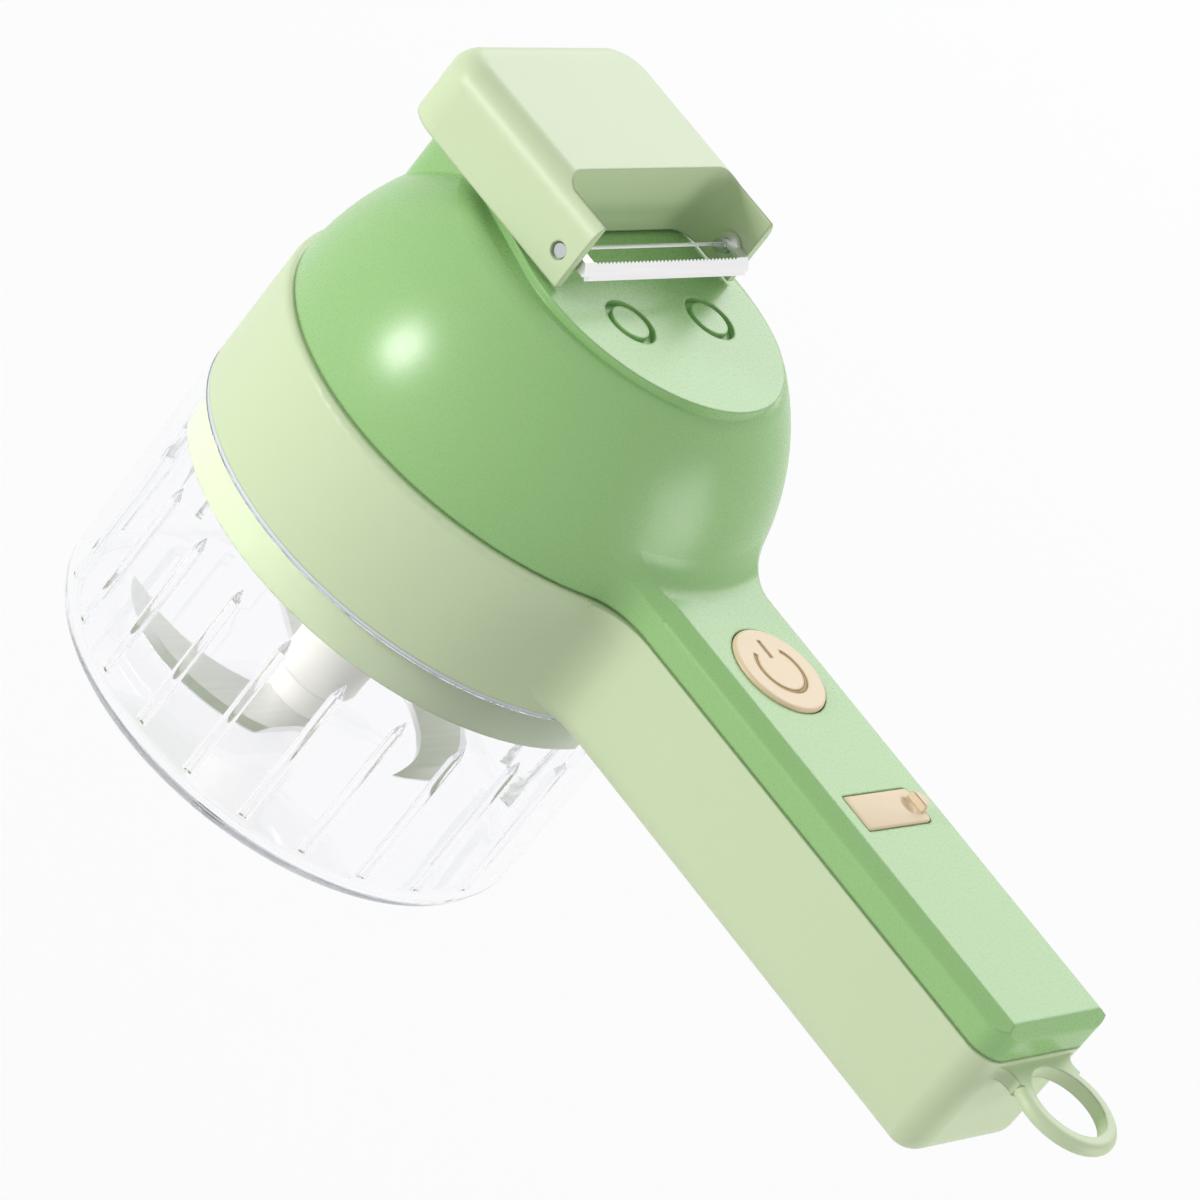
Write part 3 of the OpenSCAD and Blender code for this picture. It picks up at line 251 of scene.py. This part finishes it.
links.new(scratch_gloss.outputs[0], ground_out.inputs["Roughness"])
links.new(scratch_noise.outputs["Fac"], ground_out.inputs["Height"])


def metal(name, colour, scratch_colour, gloss, across, along):
    made, shader, nodes, links = new_material(name, colour, gloss)
    shader.inputs["Metallic"].default_value = 1.0
    lay_surface(shader, nodes, links, ground, {
        "Colour": (*colour, 1.0),
        "Scratch Colour": (*scratch_colour, 1.0),
        "Gloss": gloss,
        "Across": across,
        "Along": along,
    }, scratch_strength, scratch_depth)
    return made


blade_steel = metal("blade_steel", (0.84, 0.84, 0.84), (0.72, 0.72, 0.72),
                    gloss=0.38, across=1600.0, along=60.0)
dress(blade_steel, "lower_blade", "middle_blade", "upper_blade", "peeler_blade")


# Shafts, pins and screws: turned steel with fine tool marks round them. The planets' carrier, the
# motor's plate and the shell of the charging socket have the same finish.
# The pins are pressed in, and the screws hold the mouldings, motor and board in their places.
steel = metal("steel", (0.60, 0.61, 0.63), (0.48, 0.49, 0.51),
              gloss=0.26, across=1200.0, along=500.0)
dress(steel, "blade_pin", "output_shaft", "planet_carrier", "motor_shaft", "motor_plate",
      "base_screws", "motor_screws", "gearbox_screws", "clamp_screws", "board_screws",
      "housing_screws", "peeler_pins", "charging_socket")


# Seals: a thin soft ring on the cup's rim and a lip seal round the shaft, in milky silicone.
# Each is moulded in one piece and held by the plastic round it.
clear_rubber = moulding("clear_rubber", (0.74, 0.78, 0.84), (0.70, 0.74, 0.80),
                        gloss=0.40, spread=0.05, grain=1500.0, depth=0.00002)
dress(clear_rubber, "rim_gasket", "shaft_seal")


# Lower housing and base plate: pale green ABS, injection moulded with a satin skin. The peeler's
# shell is moulded in the same plastic.
# The collar, handle's lower half and loop are one piece, and the base plate is screwed in under it.
pale_green = moulding("pale_green_plastic", (0.63, 0.74, 0.46), (0.61, 0.72, 0.44),
                      gloss=0.40, spread=0.04, grain=2600.0, depth=0.00003)
dress(pale_green, "lower_housing", "base_plate", "peeler_head")


# Drive: one planetary stage in the gear case, with a brass pinion on the motor's shaft and a plain
# brass bush that goes through the base plate.
# The battery's contacts are of brass too.
brass = metal("brass", (0.72, 0.50, 0.20), (0.62, 0.42, 0.15),
              gloss=0.28, across=1200.0, along=400.0)
dress(brass, "shaft_bush", "sun_gear", "battery_contacts")


# Motor: a zinc-plated can with curved magnets round a slotted steel armature, closed by a black
# moulded cap. It is screwed to its plate below and held by a clamp ring round its upper end.
# The battery's tray and the switch are moulded in the same black plastic.
motor_steel = metal("motor_steel", (0.50, 0.51, 0.53), (0.42, 0.43, 0.45),
                    gloss=0.34, across=700.0, along=200.0)
black_plastic = moulding("black_plastic", (0.03, 0.03, 0.033), (0.04, 0.04, 0.043),
                         gloss=0.48, spread=0.06, grain=2200.0, depth=0.00004)
magnet_grey = moulding("magnet_grey", (0.07, 0.07, 0.075), (0.10, 0.10, 0.105),
                       gloss=0.55, spread=0.08, grain=3000.0, depth=0.00006)
dress(motor_steel, "motor_can", "armature")
dress(magnet_grey, "motor_magnets")
dress(black_plastic, "motor_end_cap", "motor_clamp", "battery_holder", "power_switch")


# Battery and board: one pencil-size cell in shrink wrap, and a small glass-fibre board under green
# mask. The cell lies in its tray, and the board is screwed down in the handle.
cell_wrap = moulding("cell_wrap", (0.05, 0.11, 0.28), (0.06, 0.13, 0.32),
                     gloss=0.32, spread=0.05, grain=900.0, depth=0.00002)
board_green = moulding("board_green", (0.015, 0.09, 0.04), (0.02, 0.12, 0.055),
                       gloss=0.38, spread=0.05, grain=1400.0, depth=0.00003)
dress(cell_wrap, "battery_cell")
dress(board_green, "circuit_board")


# Upper housing and its screw plugs: mid green ABS, the dome and the handle's upper half in one
# moulding, a little glossier than the lower half.
# The plugs are pressed into the seat over the screws that hold the motor's clamp.
mid_green = moulding("green_plastic", (0.32, 0.57, 0.21), (0.305, 0.55, 0.197),
                     gloss=0.28, spread=0.04, grain=2600.0, depth=0.00002)
dress(mid_green, "upper_housing", "screw_plugs")


# Power button: a hard peach moulding that stands just proud of the handle.
# Its sign is a moulded groove, with a thin brown strip laid in it as painted shade for the groove's
# shadow.
peach_plastic = moulding("peach_plastic", (0.88, 0.69, 0.45), (0.86, 0.67, 0.43),
                         gloss=0.40, spread=0.04, grain=2400.0, depth=0.00003)
dress(peach_plastic, "power_button")
# Painted shade: the strip's dark brown stands in for the shadow inside the sign's groove.
groove_shade_paint = moulding("groove_shade_paint", (0.46, 0.25, 0.03), (0.41, 0.22, 0.025),
                        gloss=0.45, spread=0.06, grain=3000.0, depth=0.00002)
sign_r = 0.0049
sign_line = 0.00072
sign_half_turn = math.radians(137.0)
sign_steps = 40
bar_length = 0.0037
bar_off_middle = -0.0044
paint_t = 0.0003
groove_depth = 0.0004
button_low, button_high = (Vector(corner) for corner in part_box("power_button"))
sign_middle = (button_low + button_high) / 2
sign_middle.z = button_high.z - groove_depth + paint_t / 2


def size_and_place(size, place):
    bpy.ops.transform.resize(value=size, center_override=(0.0, 0.0, 0.0))
    bpy.ops.transform.translate(value=place)


bpy.ops.object.select_all(action="DESELECT")
bpy.ops.mesh.primitive_plane_add(size=sign_line)
power_sign = bpy.context.object
power_sign.name = "power_sign"
bpy.ops.object.mode_set(mode="EDIT")
bpy.ops.transform.rotate(value=math.pi / 2, orient_axis="X", center_override=(0.0, 0.0, 0.0))
size_and_place((1.0, 1.0, paint_t / sign_line), sign_middle + Vector((sign_r, 0.0, 0.0)))
bpy.ops.mesh.spin(steps=sign_steps, angle=sign_half_turn, center=sign_middle, axis=(0.0, 0.0, 1.0))
bpy.ops.object.mode_set(mode="OBJECT")
other_half = power_sign.modifiers.new("other_half", "MIRROR")
other_half.use_axis = (False, True, False)
bpy.ops.object.modifier_apply(modifier="other_half")
bpy.ops.object.mode_set(mode="EDIT")
bpy.ops.mesh.select_all(action="DESELECT")
bpy.ops.mesh.primitive_cube_add(size=1.0)
size_and_place((bar_length, sign_line, paint_t), sign_middle + Vector((bar_off_middle, 0.0, 0.0)))
bpy.ops.mesh.select_all(action="SELECT")
bpy.ops.mesh.normals_make_consistent(inside=False)
bpy.ops.object.mode_set(mode="OBJECT")
power_sign.data.materials.append(groove_shade_paint)
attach(power_sign, "button")


# Charging cover: a soft flap moulded in peach rubber, held along one end, that lies in its pocket.
# An ear stands up at its free end for a fingernail, with a small dent in front of it.
peach_rubber = moulding("peach_rubber", (0.92, 0.74, 0.50), (0.90, 0.72, 0.48),
                        gloss=0.52, spread=0.05, grain=1800.0, depth=0.00004)
flap_corner = 0.001
flap_edge = 0.00025
ear_past = 0.003
ear_up = 0.0013
ear_r = 0.0019
ear_stretch = 1.3
ear_sunk = 0.00015
ear_edge = 0.0004
ear_inset = 0.0014
dent_r = 0.0017
dent_squash = (1.0, 0.8, 0.45)
dent_ahead = 0.0016
smooth_below = math.radians(35.0)
flap_low, flap_high = (Vector(corner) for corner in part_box("charging_cover"))
flap_high -= Vector((0.0, ear_past, ear_up))
flap_middle = (flap_low + flap_high) / 2
flap_size = flap_high - flap_low
ear_back = flap_high.y - ear_inset
ear_middle = flap_high.z + (ear_up - ear_sunk) / 2


def pick_edges(piece, wanted):
    bpy.ops.object.mode_set(mode="EDIT")
    bpy.ops.mesh.select_mode(type="EDGE")
    bpy.ops.mesh.select_all(action="DESELECT")
    bpy.ops.object.mode_set(mode="OBJECT")
    points = piece.data.vertices
    for edge in piece.data.edges:
        edge.select = wanted(*(points[index].co for index in edge.vertices))
    bpy.ops.object.mode_set(mode="EDIT")


def carve(piece, tool, operation):
    cut = piece.modifiers.new("cut", "BOOLEAN")
    cut.operation = operation
    cut.solver = "EXACT"
    cut.object = tool
    bpy.context.view_layer.objects.active = piece
    bpy.ops.object.modifier_apply(modifier="cut")
    bpy.data.objects.remove(tool, do_unlink=True)


bpy.ops.object.select_all(action="DESELECT")
bpy.ops.mesh.primitive_cube_add(size=1.0)
soft_cover = bpy.context.object
soft_cover.name = "soft_cover"
bpy.ops.object.mode_set(mode="EDIT")
size_and_place(flap_size, flap_middle)
pick_edges(soft_cover, lambda a, b: abs(a.z - b.z) > flap_size.z / 2 and a.y > flap_middle.y)
bpy.ops.mesh.bevel(offset=flap_corner, segments=6, affect="EDGES")
pick_edges(soft_cover, lambda a, b: min(a.z, b.z) > flap_high.z - flap_edge)
bpy.ops.mesh.bevel(offset=flap_edge, segments=3, affect="EDGES")
bpy.ops.object.mode_set(mode="OBJECT")

bpy.ops.object.select_all(action="DESELECT")
bpy.ops.mesh.primitive_cylinder_add(vertices=48, radius=ear_r, depth=ear_up + ear_sunk)
ear = bpy.context.object
bpy.ops.object.mode_set(mode="EDIT")
size_and_place((1.0, ear_stretch, 1.0), (flap_middle.x, ear_back, ear_middle))
bpy.ops.mesh.select_all(action="SELECT")
bpy.ops.mesh.bisect(plane_co=(0.0, ear_back, 0.0), plane_no=(0.0, 1.0, 0.0),
                    use_fill=True, clear_inner=True)
pick_edges(ear, lambda a, b: min(a.z, b.z) > flap_high.z + ear_up / 2)
bpy.ops.mesh.bevel(offset=ear_edge, segments=4, affect="EDGES")
bpy.ops.object.mode_set(mode="OBJECT")
carve(soft_cover, ear, "UNION")

bpy.ops.object.select_all(action="DESELECT")
bpy.ops.mesh.primitive_uv_sphere_add(segments=40, ring_count=20, radius=dent_r)
dent = bpy.context.object
bpy.ops.object.mode_set(mode="EDIT")
size_and_place(dent_squash, (flap_middle.x, ear_back - dent_ahead, flap_high.z))
bpy.ops.object.mode_set(mode="OBJECT")
carve(soft_cover, dent, "DIFFERENCE")
bpy.ops.object.select_all(action="DESELECT")
soft_cover.select_set(True)
bpy.ops.object.shade_smooth_by_angle(angle=smooth_below)
soft_cover.data.materials.clear()
soft_cover.data.materials.append(peach_rubber)
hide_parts("charging_cover")
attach(soft_cover, "cover")


# Floor: a white painted table, low enough for the cup to be drawn off above it.
# Rays that come from the camera, straight, off gloss or through the clear cup, see it nearly white.
cup_travel = 0.06
floor_gap = 0.0005
floor_size = 12.0
floor_grey = (0.80, 0.80, 0.80)
floor_dullness = 0.8
floor_shine = 0.1
floor_white = 0.88


def seen_directly(nodes, links):
    rays = nodes.new("ShaderNodeLightPath")
    glossy = arithmetic(nodes, "MAXIMUM")
    either = arithmetic(nodes, "MAXIMUM")
    links.new(rays.outputs["Is Camera Ray"], glossy.inputs[0])
    links.new(rays.outputs["Is Glossy Ray"], glossy.inputs[1])
    links.new(glossy.outputs[0], either.inputs[0])
    links.new(rays.outputs["Is Transmission Ray"], either.inputs[1])
    first = arithmetic(nodes, "SUBTRACT")
    first.use_clamp = True
    links.new(either.outputs[0], first.inputs[0])
    links.new(rays.outputs["Diffuse Depth"], first.inputs[1])
    return first.outputs[0]


bpy.ops.object.select_all(action="DESELECT")
bpy.ops.mesh.primitive_plane_add(size=floor_size, location=(0.0, 0.0, -floor_gap - cup_travel))
floor = bpy.context.object
floor.name = "floor"
floor_paint, shader, nodes, links = new_material("floor_paint", floor_grey, floor_dullness)
shader.inputs["Specular IOR Level"].default_value = floor_shine
floor.data.materials.append(floor_paint)
glow = nodes.new("ShaderNodeEmission")
glow.inputs["Strength"].default_value = 1.0
floor_share = arithmetic(nodes, "MULTIPLY")
floor_share.inputs[1].default_value = floor_white
floor_mix = nodes.new("ShaderNodeMixShader")
links.new(seen_directly(nodes, links), floor_share.inputs[0])
links.new(floor_share.outputs[0], floor_mix.inputs["Fac"])
links.new(shader.outputs[0], floor_mix.inputs[1])
links.new(glow.outputs[0], floor_mix.inputs[2])
links.new(floor_mix.outputs[0], nodes["Material Output"].inputs["Surface"])


# Light: a pale room that is dimmer towards the camera, and soft boxes at both sides and behind.
# The room looks white in the picture, in gloss and through the cup, whose many walls need many
# bounces.
room_colour = (0.93, 0.96, 1.0, 1.0)
dim_side = (0.50, -0.81, 0.30)
far_level = 0.70
dim_level = 0.46
wall_bounces = 128
world = bpy.data.worlds.new("studio")
scene.world = world
world.use_nodes = True
nodes, links = world.node_tree.nodes, world.node_tree.links
room = nodes["Background"]
room.inputs["Color"].default_value = room_colour
shade_side = nodes.new("ShaderNodeVectorMath")
shade_side.operation = "DOT_PRODUCT"
shade_side.inputs[1].default_value = dim_side
room_level = nodes.new("ShaderNodeMapRange")
room_level.inputs["From Min"].default_value = -1.0
room_level.inputs["To Min"].default_value = far_level
room_level.inputs["To Max"].default_value = dim_level
room_place = nodes.new("ShaderNodeTexCoord")
white = nodes.new("ShaderNodeBackground")
white.inputs["Color"].default_value = (1.0, 1.0, 1.0, 1.0)
white.inputs["Strength"].default_value = 1.0
choice = nodes.new("ShaderNodeMixShader")
links.new(room_place.outputs["Generated"], shade_side.inputs[0])
links.new(shade_side.outputs["Value"], room_level.inputs["Value"])
links.new(room_level.outputs["Result"], room.inputs["Strength"])
links.new(seen_directly(nodes, links), choice.inputs["Fac"])
links.new(room.outputs[0], choice.inputs[1])
links.new(white.outputs[0], choice.inputs[2])
links.new(choice.outputs[0], nodes["World Output"].inputs["Surface"])


def soft_box(name, place, aim, size, power):
    lamp_data = bpy.data.lights.new(name, "AREA")
    lamp_data.shape = "RECTANGLE"
    lamp_data.size, lamp_data.size_y = size
    lamp_data.energy = power
    lamp = bpy.data.objects.new(name, lamp_data)
    lamp.location = place
    lamp.rotation_euler = (Vector(aim) - Vector(place)).to_track_quat("-Z", "Y").to_euler()
    lamp.visible_camera = False
    lamp.visible_transmission = False
    scene.collection.objects.link(lamp)


soft_box("left_box", place=(-0.57, -0.88, 0.27), aim=(0.0, 0.0, 0.08), size=(0.26, 0.30), power=5.8)
soft_box("right_box", place=(1.02, 0.44, 0.28), aim=(0.04, -0.01, 0.09), size=(0.55, 0.55), power=3.3)
soft_box("back_box", place=(-0.41, 0.88, 0.60), aim=(0.03, 0.0, 0.09), size=(0.9, 0.6), power=4.8)
scene.cycles.max_bounces = wall_bounces
scene.cycles.glossy_bounces = wall_bounces
scene.cycles.transmission_bounces = wall_bounces
scene.view_settings.view_transform = "Standard"
